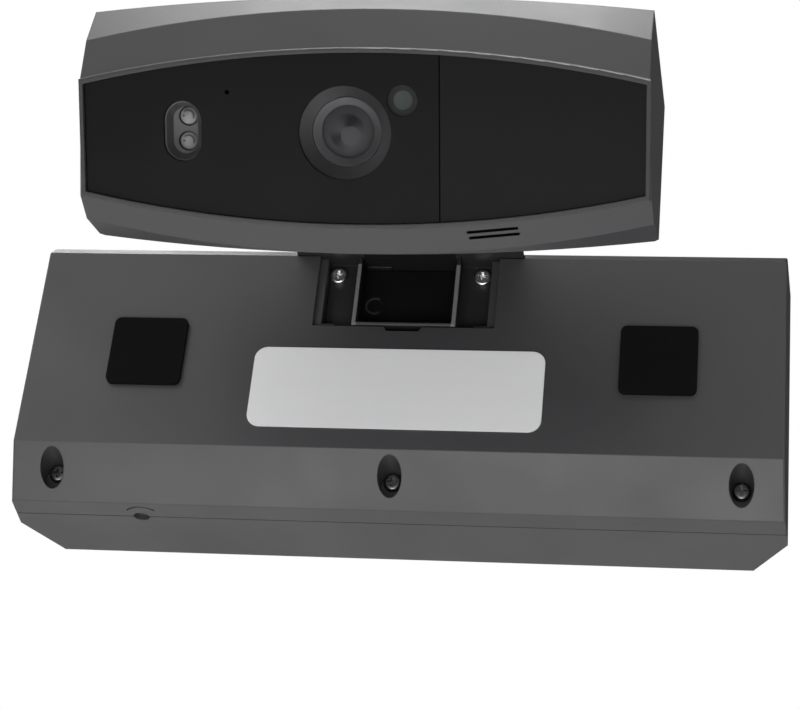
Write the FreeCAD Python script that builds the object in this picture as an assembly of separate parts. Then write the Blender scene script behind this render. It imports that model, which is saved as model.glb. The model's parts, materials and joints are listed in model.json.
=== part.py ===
import FreeCAD, Part
import math
import os
from FreeCAD import Vector

# Over-the-door video doorbell: outdoor camera head, over-door strap, indoor battery box.
# Millimetres. +X right, +Y indoors, +Z up. Origin: middle of the strap's underside, over the door.

# door gap and strap
door_gap = 59.5
face_y = door_gap / 2
back_y = -door_gap / 2
door_range = 20.5
strap_half_width = 35.0
strap_plate_thick = 1.6
strap_cover_thick = 0.8
ribbon_thick = 0.3
ribbon_groove = 0.5
ribbon_x = -10.5
ribbon_half_width = 4.0
strap_engaged = 22.0
seat_gap = 0.3
strap_top = strap_plate_thick + strap_cover_thick

# D cells
cell_radius = 17.1
cell_length = 61.5
cell_count = 3
cell_room = 0.3
cell_cover_gap = 4.2
cell_front_gap = 4.9

# indoor box
box_half_width = 116.0
front_half_width = 114.4
bay_height = 33.0
face_height = 2 * cell_radius + bay_height
chin_depth = 10.6
chin_drop = 14.8
cell_depth = cell_front_gap + cell_radius
box_depth = cell_depth + cell_radius + cell_cover_gap
box_top = 4.0
crown = 6.0
wall = 2.4
split_depth = 19.1
end_taper_depth = 25.5
end_taper = 9.8
corner_round = 0.6
box_bottom = -(face_height + chin_drop)
lip_height = 1.8
lip_wall = 1.2
fit_gap = 0.15
seam_width = 0.3
seam_depth = 0.4

# recess and bracket leg
recess_half_width = 27.76
recess_low = -25.0
recess_ledge_depth = 1.6
pocket_half_width = 25.4
pocket_low = -23.4
ledge_gap_half = 21.4
ear_front = 5.8
ear_thick = 2.0
channel_outer = 15.9
channel_wall = 1.2
web_front = 8.0
web_back = 9.4
channel_low = -24.4
bracket_screw_x = 22.4
bracket_screw_z = -2.9 - 1.4
grommet_z = -13.5
grommet_radius = 3.0
notch_top = 5.75
notch_bottom = 4.95
notch_height = 1.5
notch_depth = 5.0
liner_thick = 0.45
liner_front = 0.6
strap_relief = 0.3
leg_blend = 0.2

# pads, label, case screws, pry notch
pad_side = 22.9
pad_thick = 1.6
pad_x = 77.4
pad_z = -35.7
pad_round = 2.0
label_size = (88.0, 27.3)
label_z = -46.9
label_thick = 0.5
label_round = 4.0
case_screw_x = (-102.4, 0.0, 102.4)
case_well = (3.6, 5.2)
case_well_z = -face_height - 6.4
case_screw_z = case_well_z + 1.6
case_well_wall = 1.2
case_head_radius = 2.75
case_shank_radius = 1.5
case_head_seat = 13.0
case_boss_end = 15.2
pry_x = -76.6
pry_radius = 2.4
pry_depth = 3.6

# battery tray and electronics
cell_z = box_bottom + cell_radius + 13.9
spring_thick = 0.5
tray_low = box_bottom + 3.0
tray_high = cell_z + cell_radius + 1.4
tray_front = cell_depth + 0.5
tray_half = 109.0
cell_end = cell_count / 2 * cell_length + 0.6
board_depth = 12.0
board_thick = 1.6
board_screw_x = (-95.0, 95.0)
board_screw_z = (-7.0, -24.0)
bay_cover_depth = 24.5
bay_cover_thick = 1.6
button_x = -70.0
button_z = -15.0
button_radius = 3.0
button_travel = 0.8
chime_x = 70.0
chime_z = -14.6
chime_radius = 13.5

# camera head, in its own tilted frame: depth behind the glass face and height up the face
tilt = math.radians(40.49)
head_depth = 36.06
head_y = back_y - head_depth
head_z = -24.46
glass_half = 76.2
glass_end_half = 14.57
glass_bulge = 8.4
glass_thick = 1.5
gasket_thick = 0.6
behind_glass = glass_thick + 0.3
rim_proud = 1.4
band_edge = 0.5
rim_round = 0.35
glass_gap = 0.06
back_chamfer = 1.3
rim_half = 15.9
head_wall = 2.4
front_wall = 4.5
ledge_width = 2.7
head_top = 12.4
brow_depth = 44.3
brow_end_y = back_y - brow_depth
brow_bulge = 6.2
back_low = -32.3
back_bulge = 5.5
band_top = (6.6, 26.0)
band_low = (6.5, -23.0)
band_low_bulge = 9.0
end_x = 79.0
end_draft = 0.04
glass_seam = 21.3
seam_gap = 0.3
lens_at = (-4.4, 1.5)
hood_radius = 12.7
hood_depth = 2.6
tube_radius = 9.6
lens_radius = 7.2
lens_curve = 10.0
lens_apex = 3.6
lens_seat = 8.0
eye_at = (11.2, 10.2)
mic_at = (-36.5, 12.4)
night_at = (-49.0, 1.8)
well_floor = 4.2
night_lamps = ((-48.2, 5.7), (-48.4, -1.1))
motion_at = (48.0, 0.0)
carrier_thick = 2.0
head_board_depth = 16.0
head_board_thick = 1.6
filter_travel = 8.0
head_pad_x = 50.0
head_pad_z = -12.0
guide_margin = 3.0
guide_half = strap_half_width + guide_margin
guide_length = 20.0
guide_wall = 1.8
head_screw_x = 70.0
head_screw_z = (4.5, -25.0)
back_plate_thick = 2.4
clamp_x = 24.0
clamp_y = back_y - back_plate_thick - 12.0
speaker_at = (35.4, 9.4, -24.8)

X = Vector(1, 0, 0)
Y = Vector(0, 1, 0)
Z = Vector(0, 0, 1)


def block(x0, x1, y0, y1, z0, z1):
    return Part.makeBox(x1 - x0, y1 - y0, z1 - z0, Vector(x0, y0, z0))


def rod(radius, x, y0, y1, z):
    return Part.makeCylinder(radius, y1 - y0, Vector(x, y0, z), Y)


def post(radius, x, y, z0, z1):
    return Part.makeCylinder(radius, z1 - z0, Vector(x, y, z0), Z)


def polygon(points):
    return Part.makePolygon([Vector(*p) for p in points] + [Vector(*points[0])])


def prism_x(points, x0, x1):
    face = Part.Face(polygon([(x0, y, z) for y, z in points]))
    return face.extrude(Vector(x1 - x0, 0, 0))


def joined(shapes):
    result = shapes[0]
    for shape in shapes[1:]:
        result = result.fuse(shape)
    return result.removeSplitter()


def less(shape, cutters):
    for cutter in cutters:
        shape = shape.cut(cutter)
    return shape


def offset_polygon(points, insets):
    count = len(points)
    area = sum(points[i][0] * points[(i + 1) % count][1] - points[(i + 1) % count][0] * points[i][1]
               for i in range(count))
    turn = 1.0 if area > 0 else -1.0
    lines = []
    for i in range(count):
        (a, b), (c, d) = points[i], points[(i + 1) % count]
        long = math.hypot(c - a, d - b)
        nx, ny = -(d - b) / long * turn, (c - a) / long * turn
        lines.append((nx, ny, nx * a + ny * b + insets[i]))
    result = []
    for i in range(count):
        (a, b, e), (c, d, f) = lines[i - 1], lines[i]
        det = a * d - b * c
        result.append(((e * d - b * f) / det, (a * f - e * c) / det))
    return result


def rounded_plate(width, height, radius, thick):
    plate = Part.makeBox(width, thick, height, Vector(-width / 2, 0, -height / 2))
    edges = [e for e in plate.Edges if abs(e.tangentAt(e.FirstParameter).y) > 0.9]
    return plate.makeFillet(radius, edges)


def cross_recess(size, depth, x, y, z):
    arm = size * 0.28
    return [block(x - size, x + size, y, y + depth, z - arm, z + arm),
            block(x - arm, x + arm, y, y + depth, z - size, z + size)]


def screw(x, y, z, head_radius, head_height, shank_radius, length):
    head = rod(head_radius, x, y, y + head_height, z)
    top = [e for e in head.Edges if abs(e.BoundBox.YMax - y) < 0.01 and abs(e.BoundBox.YMin - y) < 0.01]
    head = head.makeFillet(head_height * 0.45, top)
    body = head.fuse(rod(shank_radius, x, y + head_height, y + head_height + length, z))
    return less(body, cross_recess(head_radius * 0.55, head_height * 0.6, x, y, z))


# ---------------------------------------------------------------- indoor box


def box_solid(inset):
    profile = [(0, 0), (0, -face_height), (chin_depth, box_bottom), (box_depth, box_bottom),
               (box_depth, box_top - crown), (box_depth - crown, box_top), (box_top, box_top)]
    if inset:
        profile = offset_polygon(profile, [inset] * len(profile))
    half = box_half_width + 1
    body = prism_x([(face_y + d, z) for d, z in profile], -half, half)
    rear = box_half_width - end_taper
    plan = [(-front_half_width, 0), (front_half_width, 0), (box_half_width, end_taper_depth),
            (rear, box_depth), (-rear, box_depth), (-box_half_width, end_taper_depth)]
    plan = offset_polygon(plan, [-5, inset, inset, -5, inset, inset])
    face = Part.Face(polygon([(x, face_y + d, box_bottom - 5) for x, d in plan]))
    body = body.common(face.extrude(Vector(0, 0, box_top - box_bottom + 10)))
    if not inset:
        ends = [e for e in body.Edges
                if abs(e.Vertexes[0].X) > front_half_width - 0.1
                and abs(e.Vertexes[0].X - e.Vertexes[-1].X) < 3 and e.BoundBox.YMax < face_y + chin_depth + 0.1]
        body = body.makeFillet(corner_round, ends)
    return body


def slab(d0, d1):
    return block(-200, 200, face_y + d0, face_y + d1, -150, 50)


def pocket_cuts():
    ledge = block(-recess_half_width, recess_half_width, face_y - 1, face_y + recess_ledge_depth,
                  recess_low, 0)
    pocket = block(-pocket_half_width, pocket_half_width, face_y, face_y + ear_front + ear_thick,
                   pocket_low, 0)
    channel = block(-channel_outer - seat_gap, channel_outer + seat_gap, face_y, face_y + 12,
                    channel_low - seat_gap, 0)
    slot = block(-strap_half_width - seat_gap, strap_half_width + seat_gap, face_y - 1,
                 face_y + web_back + seat_gap, -0.01, strap_top + seat_gap)
    under = block(-ledge_gap_half, ledge_gap_half, face_y, face_y + ear_front + ear_thick, recess_low, 0)
    return [ledge, pocket, channel, slot, under]


def thumb_notch():
    points = [(-notch_top, recess_low + 0.1), (notch_top, recess_low + 0.1),
              (notch_bottom, recess_low - notch_height), (-notch_bottom, recess_low - notch_height)]
    face = Part.Face(polygon([(x, face_y - 1, z) for x, z in points]))
    return face.extrude(Vector(0, 1 + notch_depth, 0))


def driver_well(x, grow, d0, d1):
    half_x, half_z = case_well[0] + grow, case_well[1] + grow
    centre = Vector(x, face_y + d0, case_well_z)
    curve = Part.Ellipse(centre + Z * half_z, centre + X * half_x, centre)
    return Part.Face(Part.Wire(curve.toShape())).extrude(Y * (d1 - d0))


def seam_groove():
    ring = box_solid(-0.5).cut(box_solid(seam_depth))
    return ring.common(slab(split_depth - seam_width, split_depth + 0.5))


def door_shell():
    body = box_solid(0).common(slab(-5, split_depth)).cut(box_solid(wall))
    backing = block(-recess_half_width - 2, recess_half_width + 2, face_y + 0.5,
                    face_y + ear_front + ear_thick + 2, recess_low - 2, box_top - 0.5)
    parts = [body, backing]
    for x in (-bracket_screw_x, bracket_screw_x):
        parts.append(rod(3.0, x, face_y + 8, face_y + board_depth, bracket_screw_z))
    for x in board_screw_x:
        for z in board_screw_z:
            parts.append(rod(2.6, x, face_y + 1, face_y + board_depth, z))
    for x in case_screw_x:
        parts.append(driver_well(x, case_well_wall, 3, case_boss_end))
    body = joined(parts).common(box_solid(0))
    cuts = pocket_cuts() + [thumb_notch(), pry_notch(), seam_groove()]
    for x in (-bracket_screw_x, bracket_screw_x):
        cuts.append(rod(1.1, x, face_y + 7, face_y + board_depth - 0.6, bracket_screw_z))
    for x in board_screw_x:
        for z in board_screw_z:
            cuts.append(rod(0.9, x, face_y + board_depth - 5, face_y + board_depth + 1, z))
    for x in case_screw_x:
        cuts.append(driver_well(x, 0, -1, case_head_seat))
        cuts.append(rod(case_shank_radius + 0.1, x, face_y, face_y + 40, case_screw_z))
    return less(body, cuts)


def pry_notch():
    hole = post(pry_radius, pry_x, face_y + split_depth, box_bottom - 1, box_bottom + pry_depth)
    outer = post(5.6, pry_x + 0.6, face_y + split_depth - 1.0, box_bottom - 1, box_bottom + 0.5)
    inner = post(4.9, pry_x + 0.6, face_y + split_depth - 1.0, box_bottom - 2, box_bottom + 1)
    arc = outer.cut(inner).common(block(pry_x - 3.6, pry_x + 4.8, face_y + 5, face_y + split_depth - 3,
                                        box_bottom - 2, box_bottom + 2))
    return Part.makeCompound([hole, arc])


def room_cover():
    body = box_solid(0).common(slab(split_depth, box_depth + 5)).cut(box_solid(wall))
    ring = box_solid(wall - 0.6).cut(box_solid(wall + lip_wall))
    ring = ring.common(slab(split_depth, split_depth + 6))
    lip = box_solid(wall + fit_gap).cut(box_solid(wall + lip_wall))
    lip = lip.common(slab(split_depth - lip_height, split_depth + 6))
    body = joined([body, ring, lip])
    cuts = []
    for row in range(5):
        half = math.sqrt(max(0.0, 11.0 ** 2 - (row * 4.2 - 8.4) ** 2))
        z = chime_z + row * 4.2 - 8.4
        cuts.append(block(chime_x - half, chime_x + half, face_y + box_depth - 6, face_y + box_depth + 1,
                          z - 0.8, z + 0.8))
    for k in range(6):
        z = -40.0 - k * 3.2
        cuts.append(block(-14, 14, face_y + box_depth - 0.6, face_y + box_depth + 1, z - 0.6, z + 0.6))
    cuts.append(post(pry_radius, pry_x, face_y + split_depth, box_bottom - 1, box_bottom + 2.0))
    cuts.append(rod(4.2, case_screw_x[0], face_y, face_y + split_depth + 4, case_screw_z))
    cuts.append(rod(4.2, case_screw_x[2], face_y, face_y + split_depth + 4, case_screw_z))
    return less(body, cuts)


def case_screws():
    return Part.makeCompound([screw(x, face_y + case_head_seat - 2.0, case_screw_z, case_head_radius, 2.0,
                                    case_shank_radius, 9.0) for x in case_screw_x])


def bracket_screws():
    return Part.makeCompound([screw(x, face_y + ear_front - 2.0, bracket_screw_z, 2.8, 2.0, 1.1, 5.2)
                              for x in (-bracket_screw_x, bracket_screw_x)])


def pad(x, y, z):
    plate = rounded_plate(pad_side, pad_side, pad_round, pad_thick)
    plate.translate(Vector(x, y, z))
    return plate


def label_plate():
    plate = rounded_plate(label_size[0], label_size[1], label_round, label_thick)
    plate.translate(Vector(0, face_y - label_thick, label_z))
    return plate


def battery_tray():
    body = block(-tray_half, tray_half, face_y + 3.2, face_y + tray_front, tray_low, tray_high)
    body = body.common(box_solid(wall + lip_wall + seat_gap))
    cell_bay = Part.makeCylinder(cell_radius + cell_room, 2 * cell_end, Vector(-cell_end, face_y + cell_depth,
                                                                            cell_z), X)
    cuts = [cell_bay]
    for side in (-1, 1):
        x0 = side * (cell_end + 4.5)
        cuts.append(block(min(side * cell_end, x0) - 0.01, max(side * cell_end, x0) + 0.01,
                          face_y + cell_depth - 14, face_y + 40, cell_z - 14, cell_z + 14))
        cuts.append(block(min(x0, side * 120) + 2.2, max(x0, side * 120) - 2.2, face_y + 8, face_y + 40,
                          cell_z - 10, tray_high + 1))
    for x in case_screw_x:
        cuts.append(driver_well(x, case_well_wall + seat_gap, 0, case_boss_end))
        cuts.append(rod(case_shank_radius, x, face_y, face_y + case_boss_end + 7, case_screw_z))
    return less(body, cuts)


def cell(index):
    x0 = (index - cell_count / 2) * cell_length
    can = Part.makeCylinder(cell_radius, cell_length - 3.4, Vector(x0 + 0.1, face_y + cell_depth, cell_z), X)
    can = can.makeFillet(1.0, can.Edges[:1] + can.Edges[2:3])
    tip = Part.makeCylinder(4.75, 3.2, Vector(x0 + cell_length - 3.4, face_y + cell_depth, cell_z), X)
    return can.fuse(tip)


def contact_spring():
    foot, crest = -cell_end - 3.75, -cell_end - 0.1
    y = face_y + cell_depth
    outer = [(foot, y - 9), (crest, y - 3), (crest, y + 3), (foot, y + 9), (foot, y + 8.1),
             (crest - spring_thick, y + 2.6), (crest - spring_thick, y - 2.6), (foot, y - 8.1)]
    face = Part.Face(polygon([(x, b, cell_z - 6) for x, b in outer]))
    return face.extrude(Vector(0, 0, 12))


def contact_plate(side):
    x0 = side * (cell_end + 4.4)
    x1 = side * (cell_end + 3.8)
    plate = block(min(x0, x1), max(x0, x1), face_y + cell_depth - 13.7, face_y + cell_depth + 8, cell_z - 12,
                  cell_z + 12)
    if side > 0:
        nub = Part.makeCylinder(5.0, 3.6, Vector(x1 - 3.6, face_y + cell_depth, cell_z), X)
        plate = plate.fuse(nub)
    return plate


def main_board():
    body = block(-100, 100, face_y + board_depth, face_y + board_depth + board_thick, tray_high + 0.4, -0.6)
    cuts = []
    for x in board_screw_x:
        for z in board_screw_z:
            cuts.append(rod(1.3, x, face_y + 5, face_y + 30, z))
    body = less(body, cuts)
    front = face_y + board_depth + board_thick
    chips = [block(-30, -16, front, front + 1.2, -24, -10), block(10, 22, front, front + 1.0, -20, -8),
             block(-10, -2, front, front + 4.0, -28, -20), block(30, 36, front, front + 6.0, -12, -4),
             block(-16, -5, front - board_thick - 2.0, front - board_thick, -17, -10)]
    return joined([body] + chips)


def board_screws():
    shapes = []
    for x in board_screw_x:
        for z in board_screw_z:
            one = screw(0, 0, 0, 2.2, 1.4, 0.9, 5.5)
            one.rotate(Vector(0, 0, 0), Z, 180)
            one.translate(Vector(x, face_y + board_depth + board_thick + 1.4, z))
            shapes.append(one)
    return Part.makeCompound(shapes)


def chime_speaker():
    front = face_y + board_depth + board_thick
    body = joined([rod(7.5, chime_x, front, front + 4.0, chime_z),
                   rod(chime_radius, chime_x, front + 3.0, face_y + bay_cover_depth, chime_z)])
    hollow = Part.makeCone(10.8, 6.0, 2.4, Vector(chime_x, face_y + bay_cover_depth + 0.01, chime_z),
                           Vector(0, -1, 0))
    return body.cut(hollow)


def switch_body():
    front = face_y + board_depth + board_thick
    body = block(button_x - 3, button_x + 3, front, front + 3.4, button_z - 3, button_z + 3)
    return body.fuse(rod(1.5, button_x, front + 3.4, front + 3.9, button_z))


def pairing_button():
    back = face_y + board_depth + board_thick + 3.9 + button_travel + 0.1
    stem = rod(button_radius, button_x, back, face_y + bay_cover_depth + bay_cover_thick + 0.6, button_z)
    flange = rod(button_radius + 1.2, button_x, back, face_y + bay_cover_depth - seat_gap, button_z)
    return stem.fuse(flange)


def status_light():
    front = face_y + board_depth + board_thick
    return rod(1.5, -54, front, face_y + bay_cover_depth + bay_cover_thick - 0.2, button_z)


def bay_cover():
    y0 = face_y + bay_cover_depth
    plate = block(-103, 103, y0, y0 + bay_cover_thick, tray_high + 0.3, box_top - wall - 2.4)
    plate = plate.common(box_solid(wall + lip_wall + seat_gap))
    feet = []
    for x in (-103, 99.0):
        feet.append(block(x, x + 4.0, face_y + board_depth + 4, y0, tray_high + 0.3, tray_high + 4))
    for x in (-85.0, 0.0, 45.0):
        feet.append(block(x - 1, x + 1, face_y + board_depth + board_thick, y0, tray_high + 2.5,
                          tray_high + 6.5))
    body = joined([plate] + feet)
    cuts = [rod(button_radius + 0.25, button_x, y0 - 1, y0 + 5, button_z), rod(1.7, -54, y0 - 1, y0 + 5,
                                                                               button_z)]
    for row in range(5):
        half = math.sqrt(max(0.0, 11.0 ** 2 - (row * 4.2 - 8.4) ** 2))
        z = chime_z + row * 4.2 - 8.4
        cuts.append(block(chime_x - half, chime_x + half, y0 - 1, y0 + 5, z - 0.8, z + 0.8))
    return less(body, cuts)


# ---------------------------------------------------------------- strap


def strap_bracket():
    tip = back_y - strap_engaged
    plate = block(-strap_half_width, strap_half_width, tip, face_y + web_back, 0, strap_plate_thick)
    under = block(-strap_half_width, strap_half_width, tip - 1, back_y + strap_relief + 0.2, -1, strap_relief)
    heel = block(-strap_half_width, strap_half_width, face_y - strap_relief, face_y + web_back + 1, -1,
                 strap_relief)
    leg_top = strap_relief + leg_blend
    groove = block(ribbon_x - ribbon_half_width - 0.5, ribbon_x + ribbon_half_width + 0.5, tip - 1,
                   face_y + 7.9, strap_plate_thick - ribbon_groove, strap_top)
    drop = block(ribbon_x - ribbon_half_width - 0.5, ribbon_x + ribbon_half_width + 0.5,
                 face_y + 5.4, face_y + web_front, -1, strap_top)
    ears = block(-pocket_half_width + seat_gap, pocket_half_width - seat_gap, face_y + ear_front,
                 face_y + ear_front + ear_thick, pocket_low + seat_gap, leg_top)
    duct = block(-channel_outer, channel_outer, face_y + 0.05, face_y + web_back, channel_low, leg_top)
    front = [e for e in duct.Edges if e.BoundBox.YMax < face_y + 0.1 and e.BoundBox.ZMax < channel_low + 0.1
             or e.BoundBox.YMax < face_y + 0.1 and e.BoundBox.ZLength > 5]
    duct = duct.makeFillet(0.45, front)
    hollow = block(-channel_outer + channel_wall, channel_outer - channel_wall, face_y - 1,
                   face_y + web_front, channel_low + 0.9, -0.01)
    leg = joined([ears, duct]).cut(hollow)
    body = joined([plate.cut(under).cut(heel), leg])
    cuts = [groove, drop, rod(grommet_radius, ribbon_x, face_y + 5, face_y + 12, grommet_z)]
    for x in (-bracket_screw_x, bracket_screw_x):
        cuts.append(rod(1.25, x, face_y + 3, face_y + 8.2, bracket_screw_z))
    return less(body, cuts)


def channel_liner():
    half = channel_outer - channel_wall
    low = channel_low + 0.9
    back = web_front - liner_thick
    body = block(-half, half, face_y + liner_front, face_y + back, low, -0.6)
    hollow = block(-half + liner_thick, half - liner_thick, face_y - 1, face_y + back - liner_thick,
                   low + liner_thick, 1)
    panel = face_y + back - liner_thick
    ring = rod(grommet_radius, ribbon_x, panel - 0.35, panel + 0.1, grommet_z)
    ring = ring.cut(rod(grommet_radius - 0.6, ribbon_x, panel - 1, panel + 1, grommet_z))
    ring = ring.cut(block(ribbon_x, ribbon_x + 5, panel - 1, panel + 1, grommet_z - 1.2, grommet_z + 1.2))
    return joined([body.cut(hollow), ring])


def strap_cover():
    tip = back_y - strap_engaged
    body = block(-strap_half_width, strap_half_width, tip, face_y + web_back, strap_plate_thick, strap_top)
    edges = [e for e in body.Edges if abs(e.BoundBox.ZMin - strap_top) < 0.01 and e.Length > 80]
    return body.makeChamfer(0.4, edges)


def strap_cable():
    tip = back_y - strap_engaged
    z0 = strap_plate_thick - ribbon_groove
    d = face_y + web_front
    path = [(tip, z0), (d - 0.4, z0), (d - 0.4, grommet_z - 2), (d - 0.1, grommet_z - 2),
            (d - 0.1, z0 + ribbon_thick), (tip, z0 + ribbon_thick)]
    strip = prism_x(path, ribbon_x - ribbon_half_width, ribbon_x + ribbon_half_width)
    lead = rod(1.7, ribbon_x, d - 0.4, face_y + board_depth - 2.0, grommet_z)
    return joined([strip, lead])


def cable_grommet():
    body = rod(grommet_radius - 0.02, ribbon_x, face_y + web_front, face_y + web_back + 0.4, grommet_z)
    return body.cut(rod(1.8, ribbon_x, face_y + 5, face_y + 14, grommet_z))


# ---------------------------------------------------------------- camera head


def tilted(depth, height):
    return (head_y + depth * math.cos(tilt) - height * math.sin(tilt),
            head_z + depth * math.sin(tilt) + height * math.cos(tilt))


def place_tilted(shape):
    shape = shape.copy()
    shape.rotate(Vector(0, 0, 0), X, math.degrees(tilt))
    shape.translate(Vector(0, head_y, head_z))
    return shape


def end_wall(y, inset):
    return end_x + end_draft * (y - back_y) - inset


def arc_edge(end, mid, inset):
    x = end_wall(end[0], inset)
    a, b = Vector(-x, end[0], end[1]), Vector(x, end[0], end[1])
    if abs(end[0] - mid[0]) + abs(end[1] - mid[1]) < 1e-6:
        return Part.makeLine(a, b)
    return Part.Arc(a, Vector(0, mid[0], mid[1]), b).toShape()


def head_solid(inset, front):
    top = glass_bulge
    ends = [tilted(-band_edge, rim_half), tilted(*band_top), (brow_end_y, head_top), (back_y, head_top),
            (back_y, back_low), tilted(*band_low), tilted(-band_edge, -rim_half)]
    mids = [tilted(-band_edge, rim_half + top), tilted(band_top[0], band_top[1] + top),
            (brow_end_y - brow_bulge, head_top), (back_y, head_top), (back_y, back_low - back_bulge),
            tilted(band_low[0], band_low[1] - band_low_bulge), tilted(-band_edge, -rim_half - top)]
    if inset:
        insets = [inset, inset, inset, inset, inset, inset, front]
        ends = offset_polygon(ends, insets)
        mids = offset_polygon(mids, insets)
    edges = [arc_edge(e, m, inset) for e, m in zip(ends, mids)]
    faces = []
    count = len(edges)
    for i in range(count):
        a, b = edges[i], edges[(i + 1) % count]
        flat = i in (2, 3, 6)
        if flat:
            left = Part.makeLine(a.Vertexes[0].Point, b.Vertexes[0].Point)
            right = Part.makeLine(a.Vertexes[-1].Point, b.Vertexes[-1].Point)
            wire = Part.Wire(Part.__sortEdges__([a, right, b, left]))
            faces.append(Part.Face(wire))
        else:
            faces.append(Part.makeRuledSurface(a, b))
    for which in (0, -1):
        points = [edge.Vertexes[which].Point for edge in edges]
        faces.append(Part.Face(Part.makePolygon(points + [points[0]])))
    shell = Part.Shell(faces)
    shell.sewShape()
    solid = Part.Solid(shell)
    if solid.Volume < 0:
        solid.reverse()
    return solid


def outline(half, end_half, bulge, depth, thick):
    a, b = Vector(-half, depth, end_half), Vector(half, depth, end_half)
    c, d = Vector(half, depth, -end_half), Vector(-half, depth, -end_half)
    edges = [Part.Arc(a, Vector(0, depth, end_half + bulge), b).toShape(), Part.makeLine(b, c),
             Part.Arc(c, Vector(0, depth, -end_half - bulge), d).toShape(), Part.makeLine(d, a)]
    return Part.Face(Part.Wire(edges)).extrude(Vector(0, thick, 0))


def head_disc(radius, at, depth, thick):
    return Part.makeCylinder(radius, thick, Vector(at[0], depth, at[1]), Y)


def speaker_slots():
    cuts = []
    for x0, z0, x1, z1 in ((28.8, -25.1, 41.9, -23.8), (29.2, -26.8, 42.2, -25.5)):
        slope = (z1 - z0) / (x1 - x0)
        shape = [(x0, z0 - 0.4), (x1, z1 - 0.4), (x1, z1 + 0.4), (x0, z0 + 0.4)]
        face = Part.Face(polygon([(x, -4, z) for x, z in shape]))
        slot = face.extrude(Vector(0, 14, 0))
        for x, z in ((x0, z0), (x1, z1)):
            slot = slot.fuse(Part.makeCylinder(0.4 * math.hypot(1, slope), 14, Vector(x, -4, z), Y))
        cuts.append(place_tilted(slot))
    return cuts


def back_opening(gap):
    half = end_x - 4.0 - gap
    low = back_low + 2.6 + gap
    high = head_top - 2.6 - gap
    return half, low, high


def corner_blocks():
    blocks = []
    for side in (-1, 1):
        for z in head_screw_z:
            x0, x1 = sorted((side * (head_screw_x - 3.5), side * 90))
            blocks.append(block(x0, x1, -150, back_y - back_plate_thick, z - 3.6, z + 3.6))
    front = place_tilted(block(-100, 100, -90, front_wall + carrier_thick + seat_gap, -90, 90))
    return Part.makeCompound(blocks).cut(front)


def head_housing():
    outer = head_solid(0, 0)
    uprights = [e for e in outer.Edges if abs(e.Vertexes[0].Y - back_y) < 0.01
                and abs(e.Vertexes[-1].Y - back_y) < 0.01 and e.BoundBox.XLength < 0.01]
    outer = outer.makeChamfer(back_chamfer, uprights)
    inner = head_solid(head_wall, front_wall + band_edge)
    rim = outline(glass_half + rim_half - glass_end_half - 0.1, rim_half, glass_bulge, -rim_proud,
                  rim_proud + 1.0)
    rim = rim.makeFillet(rim_round, [e for e in rim.Edges if e.BoundBox.YMax < -rim_proud + 0.01])
    body = outer.cut(inner).fuse(place_tilted(rim))
    half, low, high = back_opening(0)
    body = body.cut(block(-half, half, back_y - head_wall - 3, back_y + 1, low, high))
    body = body.fuse(corner_blocks().common(inner))
    cuts = [place_tilted(outline(glass_half + glass_gap, glass_end_half + glass_gap, glass_bulge, -5,
                                 5 + glass_thick + gasket_thick)),
            place_tilted(outline(glass_half - ledge_width, glass_end_half - ledge_width, glass_bulge, -5, 12))]
    cuts += speaker_slots()
    for side in (-1, 1):
        for z in head_screw_z:
            cuts.append(rod(1.0, side * head_screw_x, back_y - back_plate_thick - 8, back_y, z))
        cuts.append(post(2.2, side * clamp_x, clamp_y, head_top - head_wall - 1, head_top + 1))
    cuts.append(block(-half, half, back_y - back_plate_thick, back_y + 1, low, high))
    return less(body, cuts)


def head_glass():
    plate = outline(glass_half, glass_end_half, glass_bulge, 0, glass_thick)
    plate = plate.common(block(-100, glass_seam - seam_gap / 2, -5, 5, -40, 40))
    plate = plate.cut(head_disc(0.6, mic_at, -1, 5))
    return place_tilted(plate)


def motion_panel():
    plate = outline(glass_half, glass_end_half, glass_bulge, 0, glass_thick)
    plate = plate.common(block(glass_seam + seam_gap / 2, 100, -5, 5, -40, 40))
    return place_tilted(plate)


def glass_gasket():
    ring = outline(glass_half, glass_end_half, glass_bulge, glass_thick, gasket_thick)
    ring = ring.cut(outline(glass_half - ledge_width, glass_end_half - ledge_width, glass_bulge, 0, 5))
    return place_tilted(ring)


def front_carrier():
    body = outline(glass_half - 1.6, glass_end_half - 1.6, glass_bulge, front_wall, carrier_thick)
    parts = [body]
    for x in (-58, 58):
        for z in (-9, 8):
            parts.append(head_disc(2.6, (x, z), front_wall, head_board_depth - front_wall))
    body = joined(parts)
    cuts = [head_disc(11.0, lens_at, 0, 10), head_disc(3.4, eye_at, 0, 10), head_disc(1.2, mic_at, 0, 10),
            head_disc(6.0, motion_at, 0, 10)]
    for lamp in night_lamps:
        cuts.append(head_disc(2.7, lamp, 0, 10))
    for x in (-58, 58):
        for z in (-9, 8):
            cuts.append(head_disc(0.9, (x, z), head_board_depth - 6, 8))
    return place_tilted(less(body, cuts))


def lens_hood():
    body = joined([head_disc(13.4, lens_at, behind_glass, front_wall - behind_glass), head_disc(10.8, lens_at, 3.0, 3.4)])
    bore = Part.makeCone(hood_radius, tube_radius, hood_depth, Vector(lens_at[0], behind_glass - 0.01, lens_at[1]), Y)
    return place_tilted(body.cut(bore).cut(head_disc(tube_radius, lens_at, 0, 10)))


def lens_barrel():
    body = joined([head_disc(tube_radius - 0.2, lens_at, 4.4, 4.4), head_disc(6.4, lens_at, 8.0, 4.0)])
    mouth = Part.makeCone(tube_radius - 0.6, lens_radius + 0.1, 1.2, Vector(lens_at[0], 4.39, lens_at[1]), Y)
    seat = head_disc(lens_radius + 0.05, lens_at, 4, lens_seat - 4)
    return place_tilted(less(body, [mouth, seat, head_disc(4.6, lens_at, 3, 12)]))


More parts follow.
